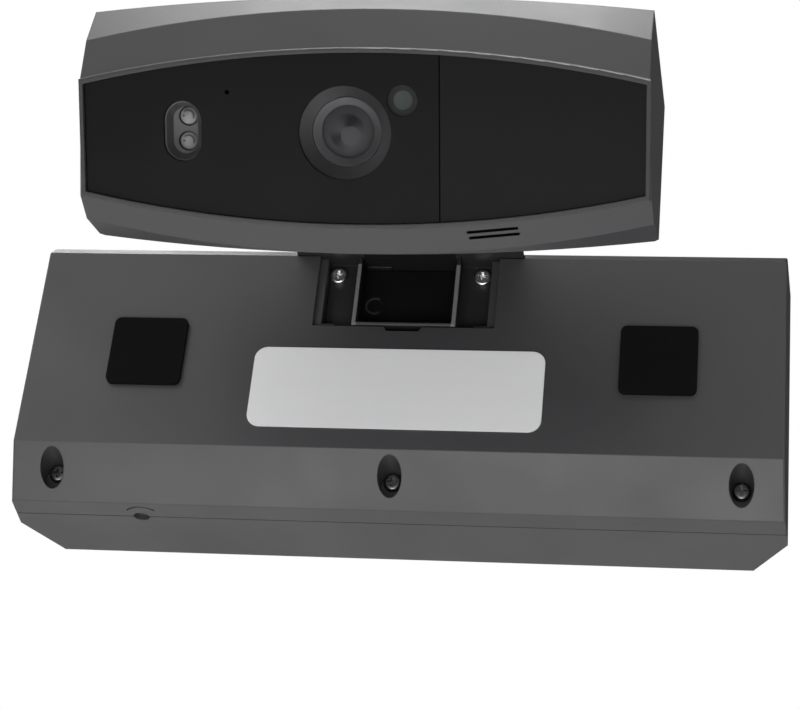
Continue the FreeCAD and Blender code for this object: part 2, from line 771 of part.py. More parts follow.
def lens_front():
    centre = lens_apex + lens_curve
    dome = Part.makeSphere(lens_curve, Vector(lens_at[0], centre, lens_at[1]))
    return place_tilted(dome.common(head_disc(lens_radius, lens_at, lens_apex - 1, lens_seat - lens_apex + 1)))


def lens_rear():
    return place_tilted(head_disc(4.55, lens_at, 10.4, 1.4))


def lens_holder():
    x, z = lens_at
    body = block(x - 15, x + 15, 8.9, head_board_depth, z - 8.5, z + 8.5)
    cavity = block(x - 13.4, x + 13.4, 12.4, head_board_depth + 1, z - 6.9, z + 6.9)
    body = body.cut(cavity).cut(head_disc(6.42, lens_at, 5, 10))
    rails = [block(x - 13.6, x + 13.6, 14.1, 15.0, z - 7.0, z - 5.7),
             block(x - 13.6, x + 13.6, 14.1, 15.0, z + 5.7, z + 7.0)]
    return place_tilted(joined([body] + rails))


def filter_slide():
    x, z = lens_at
    plate = block(x - filter_travel - 4.6, x + 4.6, 13.0, 13.8, z - 6.6, z + 6.6)
    windows = [head_disc(3.6, (x, z), 10, 6), head_disc(3.6, (x - filter_travel, z), 10, 6)]
    return place_tilted(less(plate, windows))


def image_sensor():
    x, z = lens_at
    return place_tilted(block(x - 4.5, x + 4.5, 15.1, head_board_depth, z - 4.5, z + 4.5))


def night_window():
    x, z = night_at
    thick = front_wall - behind_glass
    mouth = behind_glass - 0.01
    body = block(x - 5.3, x + 5.3, behind_glass, front_wall, z - 2.9, z + 2.9)
    body = joined([body, head_disc(5.3, (x, z + 2.9), behind_glass, thick),
                   head_disc(5.3, (x, z - 2.9), behind_glass, thick)])
    face = Part.Face(polygon([(x - 5.0, mouth, z - 2.9), (x + 5.0, mouth, z - 2.9),
                              (x + 3.3, well_floor, z - 2.9), (x - 3.3, well_floor, z - 2.9)]))
    well = [face.extrude(Vector(0, 0, 5.8))]
    for side in (-2.9, 2.9):
        well.append(Part.makeCone(5.0, 3.3, well_floor - mouth, Vector(x, mouth, z + side), Y))
    body = less(body, well)
    for lamp in night_lamps:
        body = body.cut(head_disc(2.7, lamp, 0, 10))
    return place_tilted(body)


def night_lamp_pair():
    lamps = []
    for lamp in night_lamps:
        dome = Part.makeSphere(2.8, Vector(lamp[0], 6.3, lamp[1])).common(head_disc(2.45, lamp, 3.0, 3.0))
        lamps.append(joined([dome, head_disc(2.45, lamp, 5.5, 4.5),
                             head_disc(2.9, lamp, 9.0, head_board_depth - 9.0)]))
    return place_tilted(Part.makeCompound(lamps))


def light_eye():
    body = joined([head_disc(4.25, eye_at, behind_glass, front_wall - behind_glass), head_disc(3.2, eye_at, 3.5, 5.0)])
    return place_tilted(body.cut(head_disc(2.6, eye_at, 0, behind_glass + 1.4)))


def eye_disc():
    return place_tilted(head_disc(2.55, eye_at, behind_glass + 0.1, 1.25))


def microphone():
    body = joined([head_disc(3.0, mic_at, 6.8, 5.2), head_disc(4.0, mic_at, 11.5, 1.5)])
    stem = head_disc(1.1, mic_at, glass_thick + 0.1, 6.0)
    return place_tilted(joined([body, stem]).cut(head_disc(0.5, mic_at, 0, 7)))


def motion_sensor():
    body = joined([head_disc(4.6, motion_at, 10.6, head_board_depth - 10.6),
                   head_disc(5.2, motion_at, 15.2, head_board_depth - 15.2)])
    x, z = motion_at
    return place_tilted(body.cut(block(x - 2.0, x + 2.0, 10, 10.9, z - 1.5, z + 1.5)))


def head_board():
    body = block(-62, 62, head_board_depth, head_board_depth + head_board_thick, -13, 12)
    back = head_board_depth + head_board_thick
    chips = [block(-30, -18, back, back + 1.2, -8, 4), block(6, 14, back, back + 1.0, -6, 2),
             block(28, 36, back, back + 2.4, -10, -4), block(-15.5, -5.5, back, back + 2.2, 2, 8),
             block(mic_at[0] - 4, mic_at[0] + 4, head_board_depth - 3.0, head_board_depth, 8, 11.9)]
    body = joined([body] + chips)
    cuts = []
    for x in (-58, 58):
        for z in (-9, 8):
            cuts.append(head_disc(1.3, (x, z), 10, 12))
    return place_tilted(less(body, cuts))


def head_board_screws():
    shapes = []
    for x in (-58, 58):
        for z in (-9, 8):
            one = screw(0, 0, 0, 2.2, 1.4, 0.9, 5.5)
            one.rotate(Vector(0, 0, 0), Z, 180)
            one.translate(Vector(x, head_board_depth + head_board_thick + 1.4, z))
            shapes.append(one)
    return place_tilted(Part.makeCompound(shapes))


def speaker_axes():
    band = Vector(0, band_low[0] + band_edge, band_low[1] + rim_half)
    band.normalize()
    inward = Vector(0, -band.z, band.y)
    return band, inward


def speaker_block(along, front, back, half_x):
    band, inward = speaker_axes()
    base = Vector(*speaker_at)
    points = [base + band * along + inward * front, base - band * along + inward * front,
              base - band * along + inward * back, base + band * along + inward * back]
    points = [Vector(speaker_at[0] - half_x, p.y, p.z) for p in points]
    face = Part.Face(Part.makePolygon(points + [points[0]]))
    return place_tilted(face.extrude(Vector(2 * half_x, 0, 0)))


def head_speaker():
    return speaker_block(3.4, 0, 3.6, 8.5)


def speaker_gasket():
    inner = head_solid(head_wall, front_wall + band_edge)
    body = speaker_block(3.4, -9, 0, 8.5).cut(speaker_block(2.0, -10, 1, 7.0))
    return body.common(inner)


def strap_guide():
    y1 = back_y - back_plate_thick
    y0 = y1 - guide_length
    body = block(-guide_half, guide_half, y0, y1, -seat_gap - guide_wall, strap_top + seat_gap + guide_wall)
    legs = []
    for x in (-34, 34):
        legs.append(block(x - 4, x + 4, y0 + 2, y1, strap_top + seat_gap, head_top - head_wall))
    body = joined([body] + legs)
    cuts = [block(-strap_half_width - seat_gap, strap_half_width + seat_gap, y0 - 5, y1 + 5, -seat_gap,
                  strap_top + seat_gap)]
    for side in (-1, 1):
        cuts.append(post(1.25, side * clamp_x, clamp_y, strap_top, 20))
    return less(body, cuts)


def clamp_screws():
    shapes = []
    for side in (-1, 1):
        body = post(1.25, side * clamp_x, clamp_y, strap_top + seat_gap, head_top - 2.2)
        head = post(2.1, side * clamp_x, clamp_y, head_top - 2.2, head_top - 0.2)
        one = body.fuse(head)
        slot = block(side * clamp_x - 1.6, side * clamp_x + 1.6, clamp_y - 0.3, clamp_y + 0.3, head_top - 1.2,
                     head_top)
        shapes.append(one.cut(slot))
    return Part.makeCompound(shapes)


def cable_loop():
    tip = back_y - strap_engaged
    z0 = strap_plate_thick - ribbon_groove
    ay, az = tilted(head_board_depth + head_board_thick + 1.1, 8.1)
    path = [(tip - 0.05, z0), (ay, z0), (ay, az), (ay - ribbon_thick, az),
            (ay - ribbon_thick, z0 + ribbon_thick), (tip - 0.05, z0 + ribbon_thick)]
    return prism_x(path, ribbon_x - ribbon_half_width, ribbon_x + ribbon_half_width)


def head_back_plate():
    half, low, high = back_opening(fit_gap)
    body = block(-half, half, back_y - back_plate_thick, back_y, low, high)
    cuts = [block(-strap_half_width - seat_gap, strap_half_width + seat_gap, back_y - 10, back_y + 5,
                  -seat_gap, strap_top + seat_gap)]
    for side in (-1, 1):
        for z in head_screw_z:
            cuts.append(rod(1.4, side * head_screw_x, back_y - 10, back_y + 1, z))
            cuts.append(rod(2.5, side * head_screw_x, back_y - 1.6, back_y + 1, z))
    return less(body, cuts)


def head_screws():
    shapes = []
    for side in (-1, 1):
        for z in head_screw_z:
            one = screw(0, 0, 0, 2.3, 1.4, 1.0, 7.0)
            one.rotate(Vector(0, 0, 0), Z, 180)
            one.translate(Vector(side * head_screw_x, back_y - 0.2, z))
            shapes.append(one)
    return Part.makeCompound(shapes)


PIECES = {
    "door_side_shell": door_shell, "room_side_cover": room_cover, "case_screws": case_screws,
    "bracket_screws": bracket_screws, "label_plate": label_plate, "battery_tray": battery_tray,
    "contact_spring": contact_spring, "main_board": main_board, "board_screws": board_screws,
    "chime_speaker": chime_speaker, "switch_body": switch_body, "pairing_button": pairing_button,
    "status_light": status_light, "bay_cover": bay_cover, "strap_bracket": strap_bracket,
    "strap_cover": strap_cover, "channel_liner": channel_liner, "strap_cable": strap_cable, "cable_grommet": cable_grommet,
    "head_housing": head_housing, "head_glass": head_glass, "motion_panel": motion_panel,
    "glass_gasket": glass_gasket, "front_carrier": front_carrier, "lens_hood": lens_hood,
    "lens_barrel": lens_barrel, "lens_front": lens_front, "lens_rear": lens_rear,
    "lens_holder": lens_holder, "filter_slide": filter_slide, "image_sensor": image_sensor,
    "night_window": night_window, "night_lamps": night_lamp_pair, "light_eye": light_eye,
    "eye_disc": eye_disc, "microphone": microphone, "motion_sensor": motion_sensor,
    "head_board": head_board, "head_board_screws": head_board_screws, "head_speaker": head_speaker,
    "speaker_gasket": speaker_gasket, "strap_guide": strap_guide, "clamp_screws": clamp_screws,
    "cable_loop": cable_loop, "head_back_plate": head_back_plate, "head_screws": head_screws,
    "cell_left": lambda: cell(0), "cell_middle": lambda: cell(1), "cell_right": lambda: cell(2),
    "contact_plate_left": lambda: contact_plate(-1), "contact_plate_right": lambda: contact_plate(1),
    "room_pad_left": lambda: pad(-pad_x, face_y - pad_thick, pad_z),
    "room_pad_right": lambda: pad(pad_x, face_y - pad_thick, pad_z),
    "outdoor_pad_left": lambda: pad(-head_pad_x, back_y, head_pad_z),
    "outdoor_pad_right": lambda: pad(head_pad_x, back_y, head_pad_z),
}

os.makedirs("parts", exist_ok=True)
for name, make in PIECES.items():
    shape = make()
    if not shape.isValid():
        print("INVALID", name)
    print(name, len(shape.Solids), round(shape.Volume, 1))
    shape.exportStep("parts/" + name + ".step")
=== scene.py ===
import json
import math

import bmesh
import bpy
from mathutils import Euler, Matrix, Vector

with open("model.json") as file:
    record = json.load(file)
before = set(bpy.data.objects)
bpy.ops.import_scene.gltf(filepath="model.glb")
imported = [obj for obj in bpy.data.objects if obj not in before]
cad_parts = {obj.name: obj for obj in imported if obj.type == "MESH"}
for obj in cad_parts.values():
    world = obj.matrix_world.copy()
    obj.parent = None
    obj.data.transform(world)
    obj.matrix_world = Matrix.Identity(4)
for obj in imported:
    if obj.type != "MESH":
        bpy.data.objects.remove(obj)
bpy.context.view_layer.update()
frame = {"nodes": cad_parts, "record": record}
nodes = frame["nodes"]

MM = 0.001
TILT = math.radians(40.49)
HEAD_MM = (0.0, -65.81, -24.46)
FLOOR_Z = -0.62

# Places on the glass's face: x and height up it, in millimetres
LENS_AT = (-4.4, 1.5)
LAMPS_AT = (-49.0, 1.8)
EYE_AT = (11.2, 10.2)

# Places in the row frame, in millimetres
# Centre of the raised C on the channel's liner, which gets a painted highlight
CABLE_MARK_AT = (-10.5, -13.5)
# The parting line's span in depth, painted near-black as the shade in the seam
PARTING_LINE = (48.40, 48.95)
# Screws below this height get painted shade
CHIN_TOP = -50.0


# ------------------------------------------------------------------ node helpers


class Graph:
    """A node tree with short calls."""

    def __init__(self, name):
        self.material = bpy.data.materials.new(name)
        self.material.use_nodes = True
        self.tree = self.material.node_tree
        self.tree.nodes.clear()
        self.out = self.add("ShaderNodeOutputMaterial")
        self.shader = self.add("ShaderNodeBsdfPrincipled")
        self.link(self.shader, "BSDF", self.out, "Surface")

    def add(self, kind, **values):
        node = self.tree.nodes.new(kind)
        for key, value in values.items():
            setattr(node, key, value)
        return node

    def link(self, a, a_name, b, b_name):
        self.tree.links.new(a.outputs[a_name], b.inputs[b_name])

    def set(self, **values):
        for key, value in values.items():
            self.shader.inputs[key.replace("_", " ")].default_value = value

    def coords(self):
        return self.add("ShaderNodeTexCoord")

    def noise(self, scale, detail=2.0, roughness=0.5, stretch=None):
        texture = self.add("ShaderNodeTexNoise")
        texture.inputs["Scale"].default_value = scale
        texture.inputs["Detail"].default_value = detail
        texture.inputs["Roughness"].default_value = roughness
        source = self.coords()
        if stretch:
            mapping = self.add("ShaderNodeMapping")
            mapping.inputs["Scale"].default_value = stretch
            self.link(source, "Object", mapping, "Vector")
            self.link(mapping, "Vector", texture, "Vector")
        else:
            self.link(source, "Object", texture, "Vector")
        return texture

    def ramp(self, source, name, low, high, at=(0.35, 0.65)):
        ramp = self.add("ShaderNodeValToRGB")
        ramp.color_ramp.elements[0].position = at[0]
        ramp.color_ramp.elements[1].position = at[1]
        ramp.color_ramp.elements[0].color = low if len(low) == 4 else (*low, 1)
        ramp.color_ramp.elements[1].color = high if len(high) == 4 else (*high, 1)
        self.link(source, name, ramp, "Fac")
        return ramp

    def spread(self, source, name, low, high):
        ranged = self.add("ShaderNodeMapRange")
        ranged.inputs["To Min"].default_value = low
        ranged.inputs["To Max"].default_value = high
        ranged.inputs["From Min"].default_value = 0.3
        ranged.inputs["From Max"].default_value = 0.7
        self.link(source, name, ranged, "Value")
        return ranged

    def math(self, operation, a, b=None, clamp=False):
        node = self.add("ShaderNodeMath", operation=operation, use_clamp=clamp)
        for index, value in enumerate((a, b)):
            if value is None:
                continue
            if isinstance(value, (int, float)):
                node.inputs[index].default_value = value
            else:
                self.tree.links.new(value, node.inputs[index])
        return node.outputs[0]

    def soften(self, radius_mm, target=None, samples=4):
        """Rounded edges for the target node, or for the shader itself."""
        soft = self.add("ShaderNodeBevel", samples=samples)
        soft.inputs["Radius"].default_value = radius_mm * MM
        self.link(soft, "Normal", target or self.shader, "Normal")

    def row_mm(self):
        """The point's x, y and z in the row frame, in millimetres."""
        split = self.add("ShaderNodeSeparateXYZ")
        self.link(self.coords(), "Object", split, "Vector")
        return [self.math("MULTIPLY", split.outputs[axis], 1000.0) for axis in "XYZ"]

    def head_mm(self):
        """The point's x, depth behind the glass's face and height up it, in millimetres."""
        x, y, z = self.row_mm()
        y = self.math("SUBTRACT", y, HEAD_MM[1])
        z = self.math("SUBTRACT", z, HEAD_MM[2])
        cos, sin = math.cos(TILT), math.sin(TILT)
        up = self.math("SUBTRACT", self.math("MULTIPLY", z, cos), self.math("MULTIPLY", y, sin))
        deep = self.math("ADD", self.math("MULTIPLY", y, cos), self.math("MULTIPLY", z, sin))
        return x, deep, up

    def polar(self, dx, dz):
        square = self.math("ADD", self.math("MULTIPLY", dx, dx), self.math("MULTIPLY", dz, dz))
        return self.math("SQRT", square), self.math("ARCTAN2", dz, dx)

    def band(self, value, low, high, soft):
        """One between low and high, falling to nought over soft on either side."""
        rise = self.math("DIVIDE", self.math("SUBTRACT", value, low), soft, clamp=True)
        fall = self.math("DIVIDE", self.math("SUBTRACT", high, value), soft, clamp=True)
        return self.math("MULTIPLY", rise, fall)

    def lobe(self, angle, middle, sharp):
        """One at an angle in degrees, falling away round the circle."""
        wave = self.math("COSINE", self.math("SUBTRACT", angle, math.radians(middle)))
        return self.math("POWER", self.math("MAXIMUM", wave, 0.0), sharp)

    def level(self, value, tint=(1, 1, 1)):
        """A colour from a single level."""
        joined = self.add("ShaderNodeCombineXYZ")
        for index, part in enumerate(tint):
            self.tree.links.new(self.math("MULTIPLY", value, part), joined.inputs[index])
        return joined.outputs[0]


def moulded(name, colour, rough=0.5, grain=0.12, spread=0.08, edge=0.35, specular=0.5, grain_scale=2600.0,
            seam_shade=None):
    """Moulded plastic: spark-eroded grain, faint colour drift, soft edges and painted shade along the
    parting line.
    """
    g = Graph(name)
    drift = g.noise(9.0, 4.0)
    dark = tuple(c * (1 - spread) for c in colour)
    pale = tuple(min(1.0, c * (1 + spread)) for c in colour)
    tint = g.ramp(drift, "Fac", dark, pale)
    fine = g.noise(grain_scale, 3.0, 0.6)
    mix = g.add("ShaderNodeMix", data_type="RGBA", blend_type="MULTIPLY")
    mix.inputs["Factor"].default_value = 0.35
    shade = g.ramp(fine, "Fac", (0.82, 0.82, 0.82), (1, 1, 1), (0.3, 0.7))
    g.tree.links.new(tint.outputs["Color"], mix.inputs["A"])
    g.tree.links.new(shade.outputs["Color"], mix.inputs["B"])
    colour_out = mix.outputs["Result"]
    # Painted shade: a near-black band along the parting line stands in for the shadow in the seam.
    if seam_shade:
        _, depth, _ = g.row_mm()
        dull = g.add("ShaderNodeMix", data_type="RGBA", blend_type="MIX")
        dull.inputs["B"].default_value = (0.003, 0.003, 0.003, 1)
        g.tree.links.new(g.band(depth, *seam_shade, 0.06), dull.inputs["Factor"])
        g.tree.links.new(colour_out, dull.inputs["A"])
        colour_out = dull.outputs["Result"]
    g.tree.links.new(colour_out, g.shader.inputs["Base Color"])
    patch = g.noise(30.0, 5.0)
    rough_map = g.spread(patch, "Fac", rough - 0.05, rough + 0.06)
    g.link(rough_map, "Result", g.shader, "Roughness")
    bump = g.add("ShaderNodeBump")
    bump.inputs["Strength"].default_value = grain
    bump.inputs["Distance"].default_value = 0.00006
    g.link(fine, "Fac", bump, "Height")
    if edge:
        g.soften(edge, bump, samples=6)
    g.link(bump, "Normal", g.shader, "Normal")
    g.shader.inputs["Specular IOR Level"].default_value = specular
    return g.material


def metal(name, colour, rough=0.3, scratch=0.12, stretch=(1, 1, 1), edge=0.12, shade_below=None):
    """Bare metal with fine lines; below a given height the colour is darkened as painted shade, for screws
    deep in their counterbores.
    """
    g = Graph(name)
    lines = g.noise(900.0, 4.0, 0.6, stretch)
    tint = g.ramp(lines, "Fac", tuple(c * 0.86 for c in colour), colour)
    g.link(tint, "Color", g.shader, "Base Color")
    # Painted shade: below the given height the colour drops to a quarter, standing in for the counterbores'
    # shadow.
    if shade_below is not None:
        _, _, height = g.row_mm()
        bright = g.math("ADD", 0.25, g.math("GREATER_THAN", height, shade_below), clamp=True)
        recess_shade = g.add("ShaderNodeMix", data_type="RGBA", blend_type="MULTIPLY")
        recess_shade.inputs["Factor"].default_value = 1.0
        g.link(tint, "Color", recess_shade, "A")
        g.tree.links.new(g.level(bright), recess_shade.inputs["B"])
        g.tree.links.new(recess_shade.outputs["Result"], g.shader.inputs["Base Color"])
    rough_map = g.spread(lines, "Fac", rough - 0.06, rough + 0.08)
    g.link(rough_map, "Result", g.shader, "Roughness")
    bump = g.add("ShaderNodeBump")
    bump.inputs["Strength"].default_value = scratch
    bump.inputs["Distance"].default_value = 0.00004
    g.link(lines, "Fac", bump, "Height")
    g.soften(edge, bump)
    g.link(bump, "Normal", g.shader, "Normal")
    g.shader.inputs["Metallic"].default_value = 1.0
    return g.material


def smoked_glass(name):
    """Black-printed glass with clear, smoked windows over lens, lamps and light sensor."""
    g = Graph(name)
    x, _, up = g.head_mm()

    def inside(middle, radius, half=0.0):
        dx = g.math("SUBTRACT", x, middle[0])
        dz = g.math("SUBTRACT", up, middle[1])
        if half:
            dz = g.math("MAXIMUM", g.math("SUBTRACT", g.math("ABSOLUTE", dz), half), 0.0)
        far = g.math("SQRT", g.math("ADD", g.math("MULTIPLY", dx, dx), g.math("MULTIPLY", dz, dz)))
        return g.math("MULTIPLY", g.math("SUBTRACT", radius, far), 8.0, clamp=True)

    lens = g.math("MULTIPLY", inside(LENS_AT, 12.7), 0.68)
    lamps = g.math("MULTIPLY", inside(LAMPS_AT, 5.3, 2.9), 0.82)
    eye = g.math("MULTIPLY", inside(EYE_AT, 4.25), 0.66)
    clear = g.math("MAXIMUM", lens, g.math("MAXIMUM", lamps, eye))
    alpha = g.math("SUBTRACT", 1.0, clear)
    g.tree.links.new(alpha, g.shader.inputs["Alpha"])
    drift = g.noise(14.0, 3.0)
    tint = g.ramp(drift, "Fac", (0.0062, 0.0062, 0.0066), (0.0070, 0.0070, 0.0075))
    g.link(tint, "Color", g.shader, "Base Color")
    smear = g.noise(60.0, 5.0)
    rough_map = g.spread(smear, "Fac", 0.20, 0.27)
    g.link(rough_map, "Result", g.shader, "Roughness")
    g.soften(0.2)
    g.shader.inputs["Specular IOR Level"].default_value = 0.09
    return g.material


def foil(name, colour):
    """Satin silver label stock: nearly even, with a faint brushed drift."""
    g = Graph(name)
    lines = g.noise(60.0, 3.0, 0.5, (0.06, 1, 1))
    tint = g.ramp(lines, "Fac", tuple(c * 0.97 for c in colour), colour)
    g.link(tint, "Color", g.shader, "Base Color")
    rough_map = g.spread(lines, "Fac", 0.36, 0.44)
    g.link(rough_map, "Result", g.shader, "Roughness")
    g.soften(0.25)
    return g.material


def optics_metal(name):
    """Turned lens parts: a lighter tube inside a darker hood; the hood carries a painted sheen that turns
    twice round the axis, and the tube a painted highlight on its upper left side.
    """
    g = Graph(name)
    x, _, up = g.head_mm()
    far, angle = g.polar(g.math("SUBTRACT", x, LENS_AT[0]), g.math("SUBTRACT", up, LENS_AT[1]))
    # Painted sheen on the hood: lighter and darker twice round the axis.
    painted_sheen = g.math("COSINE", g.math("MULTIPLY", g.math("SUBTRACT", angle, math.radians(148)), 2.0))
    hood = g.math("ADD", 0.25, g.math("MULTIPLY", painted_sheen, 0.11))
    # Painted highlight: the tube is lighter towards its upper left.
    side = g.math("COSINE", g.math("SUBTRACT", angle, math.radians(125)))
    tube = g.math("ADD", 0.46, g.math("MULTIPLY", side, 0.14))
    groove = g.math("MULTIPLY", g.math("SINE", g.math("MULTIPLY", far, 9.0)), 0.02)
    in_tube = g.math("MULTIPLY", g.math("SUBTRACT", 9.65, far), 6.0, clamp=True)
    level = g.math("ADD", hood, g.math("MULTIPLY", in_tube, g.math("SUBTRACT", tube, hood)))
    level = g.math("ADD", level, groove)
    g.tree.links.new(g.level(level, (1, 1, 1.03)), g.shader.inputs["Base Color"])
    grain = g.noise(700.0, 2.0)
    g.link(g.spread(grain, "Fac", 0.34, 0.42), "Result", g.shader, "Roughness")
    g.soften(0.12)
    g.set(Specular_IOR_Level=0.4)
    return g.material


def coated_lens(name):
    """Front lens element: the bright iris behind it and two dark reflections of its own rim."""
    g = Graph(name)
    x, _, up = g.head_mm()
    far, angle = g.polar(g.math("SUBTRACT", x, LENS_AT[0]), g.math("SUBTRACT", up, LENS_AT[1]))
    reach = g.band(far, 0.7, 5.2, 0.8)
    fan = g.math("MULTIPLY", reach, g.lobe(angle, 66.0, 3.0))
    heel = g.math("MULTIPLY", g.math("MULTIPLY", g.band(far, 1.0, 5.4, 0.9), g.lobe(angle, 216.0, 6.0)), 0.8)
    iris, _ = g.polar(g.math("SUBTRACT", x, -3.4), g.math("SUBTRACT", up, 0.4))
    pupil = g.math("MULTIPLY", g.math("SUBTRACT", 2.9, iris), 2.2, clamp=True)
    shade = g.math("MULTIPLY", g.math("MAXIMUM", fan, heel), g.math("SUBTRACT", 1.0, pupil))
    level = g.math("SUBTRACT", 0.37, g.math("MULTIPLY", shade, 0.30))
    level = g.math("ADD", level, g.math("MULTIPLY", pupil, 0.06))
    cloud = g.noise(90.0, 2.0)
    level = g.math("ADD", level, g.math("MULTIPLY", cloud.outputs["Fac"], 0.012))
    g.tree.links.new(g.level(level, (1, 1, 1.05)), g.shader.inputs["Base Color"])
    g.link(g.spread(cloud, "Fac", 0.16, 0.22), "Result", g.shader, "Roughness")
    g.set(Specular_IOR_Level=0.3)
    return g.material


def lamp_resin(name):
    """Clear lamp domes: a bright cup, its rim, the die's dot and the bond wire's arc."""
    g = Graph(name)
    x, _, up = g.head_mm()
    upper = g.math("GREATER_THAN", up, 2.3)
    middle = g.math("ADD", -1.1, g.math("MULTIPLY", upper, 6.8))
    dx, dz = g.math("SUBTRACT", x, -48.3), g.math("SUBTRACT", up, middle)
    far, angle = g.polar(dx, dz)
    wire_side = g.math("MULTIPLY", g.lobe(angle, 55.0, 1.0), 2.6, clamp=True)
    arc = g.math("MULTIPLY", g.band(far, 1.25, 1.85, 0.2), wire_side)
    spot, _ = g.polar(g.math("SUBTRACT", dx, -1.2), g.math("SUBTRACT", dz, 0.05))
    dot = g.math("MULTIPLY", g.math("SUBTRACT", 0.5, spot), 3.0, clamp=True)
    rim = g.math("MULTIPLY", g.math("SUBTRACT", far, 2.1), 3.0, clamp=True)
    die = g.math("MULTIPLY", g.math("MAXIMUM", arc, dot), 0.7)
    mark = g.math("MAXIMUM", die, g.math("MULTIPLY", rim, 0.55))
    cloud = g.noise(500.0, 2.0)
    level = g.math("MULTIPLY", g.math("SUBTRACT", 0.98, g.math("MULTIPLY", cloud.outputs["Fac"], 0.12)),
                   g.math("SUBTRACT", 1.0, mark))
    g.tree.links.new(g.level(level), g.shader.inputs["Base Color"])
    g.link(g.spread(cloud, "Fac", 0.2, 0.3), "Result", g.shader, "Roughness")
    g.set(Specular_IOR_Level=0.4)
    return g.material


def panel_plastic(name):
    """Black front panel plastic; the lamp well behind the glass is its paler, unpolished side, with painted
    shade on the well's walls, which stay darker than its floor and lip.
    """
    g = Graph(name)
    _, deep, _ = g.head_mm()
    behind = g.math("GREATER_THAN", deep, 1.7)
    # Painted shade: the well's walls stay darker than its floor and its lip by the glass.
    floor = g.math("MULTIPLY", g.math("SUBTRACT", deep, 3.9), 5.0, clamp=True)
    lip = g.math("MULTIPLY", g.math("SUBTRACT", 2.0, deep), 8.0, clamp=True)
    well = g.math("ADD", 0.14, g.math("MULTIPLY", g.math("MAXIMUM", floor, lip), 0.24))
    drift = g.noise(12.0, 3.0)
    skin = g.math("ADD", 0.0088, g.math("MULTIPLY", drift.outputs["Fac"], 0.0018))
    level = g.math("ADD", skin, g.math("MULTIPLY", behind, well))
    g.tree.links.new(g.level(level, (1, 1, 1.03)), g.shader.inputs["Base Color"])
    fine = g.noise(40.0, 3.0)
    g.link(g.spread(fine, "Fac", 0.21, 0.27), "Result", g.shader, "Roughness")
    g.soften(0.2)
    g.set(Specular_IOR_Level=0.09)
    return g.material


def black_plastic(name):
    """Black moulded plastic; the raised C on the channel's liner is painted lighter, a painted highlight
    where it catches light.
    """
    g = Graph(name)
    x, y, z = g.row_mm()
    far, _ = g.polar(g.math("SUBTRACT", x, CABLE_MARK_AT[0]), g.math("SUBTRACT", z, CABLE_MARK_AT[1]))
    # Painted highlight on the raised C.
    c_mark_highlight = g.math("MULTIPLY", g.band(far, 2.3, 3.1, 0.12), g.math("LESS_THAN", x, -9.0))
    c_mark_highlight = g.math("MULTIPLY", c_mark_highlight, g.band(y, 36.0, 37.2, 0.2))
    drift = g.noise(60.0, 3.0)
    level = g.math("ADD", 0.0045, g.math("MULTIPLY", drift.outputs["Fac"], 0.003))
    level = g.math("ADD", level, g.math("MULTIPLY", c_mark_highlight, 0.03))
    g.tree.links.new(g.level(level), g.shader.inputs["Base Color"])
    fine = g.noise(1800.0, 2.0)
    g.link(g.spread(fine, "Fac", 0.45, 0.55), "Result", g.shader, "Roughness")
    g.soften(0.2)
    g.set(Specular_IOR_Level=0.15)
    return g.material


def strap_paint(name):
    """Dark satin paint on steel, with a painted highlight along the duct's front edges, and darker between
    the duct's walls at the top.
    """
    g = Graph(name)
    x, y, z = g.row_mm()
    sides = g.math("ADD", 0.25, g.math("GREATER_THAN", g.math("ABSOLUTE", x), 14.5), clamp=True)
    sides = g.math("MULTIPLY", sides, g.math("LESS_THAN", z, -2.6))
    # Painted highlight along the duct's front edges.
    front = g.math("MULTIPLY", g.band(y, 29.2, 30.6, 0.35), sides)
    drift = g.noise(30.0, 4.0)
    coat = g.math("ADD", 0.017, g.math("MULTIPLY", drift.outputs["Fac"], 0.006))
    # Darker between the duct's walls at the top.
    inner = g.math("MULTIPLY", g.band(x, -14.4, 14.4, 0.3), g.math("GREATER_THAN", z, -1.2))
    outside_duct_top = g.math("SUBTRACT", 1.0, inner)
    coat_and_edge_highlight = g.math("ADD", coat, g.math("MULTIPLY", front, 0.15))
    level = g.math("MULTIPLY", coat_and_edge_highlight, g.math("ADD", 0.15, outside_duct_top))
    g.tree.links.new(g.level(level, (1, 1, 1.03)), g.shader.inputs["Base Color"])
    fine = g.noise(2200.0, 3.0, 0.6)
    dull = g.math("MULTIPLY", inner, 0.5)
    rough_map = g.math("ADD", g.spread(fine, "Fac", 0.38, 0.46).outputs["Result"], dull)
    g.tree.links.new(rough_map, g.shader.inputs["Roughness"])
    g.set(Specular_IOR_Level=0.25)
    bump = g.add("ShaderNodeBump")
    bump.inputs["Strength"].default_value = 0.1
    bump.inputs["Distance"].default_value = 0.00005
    g.link(fine, "Fac", bump, "Height")
    g.soften(0.3, bump)
    g.link(bump, "Normal", g.shader, "Normal")
    return g.material


def clear_resin(name, colour, alpha, rough):
    g = Graph(name)
    cloud = g.noise(400.0, 3.0)
    tint = g.ramp(cloud, "Fac", tuple(c * 0.9 for c in colour), colour)
    g.link(tint, "Color", g.shader, "Base Color")
    rough_map = g.spread(cloud, "Fac", max(0.02, rough - 0.03), rough + 0.03)
    g.link(rough_map, "Result", g.shader, "Roughness")
    g.shader.inputs["Alpha"].default_value = alpha
    g.shader.inputs["Specular IOR Level"].default_value = 0.6
    return g.material


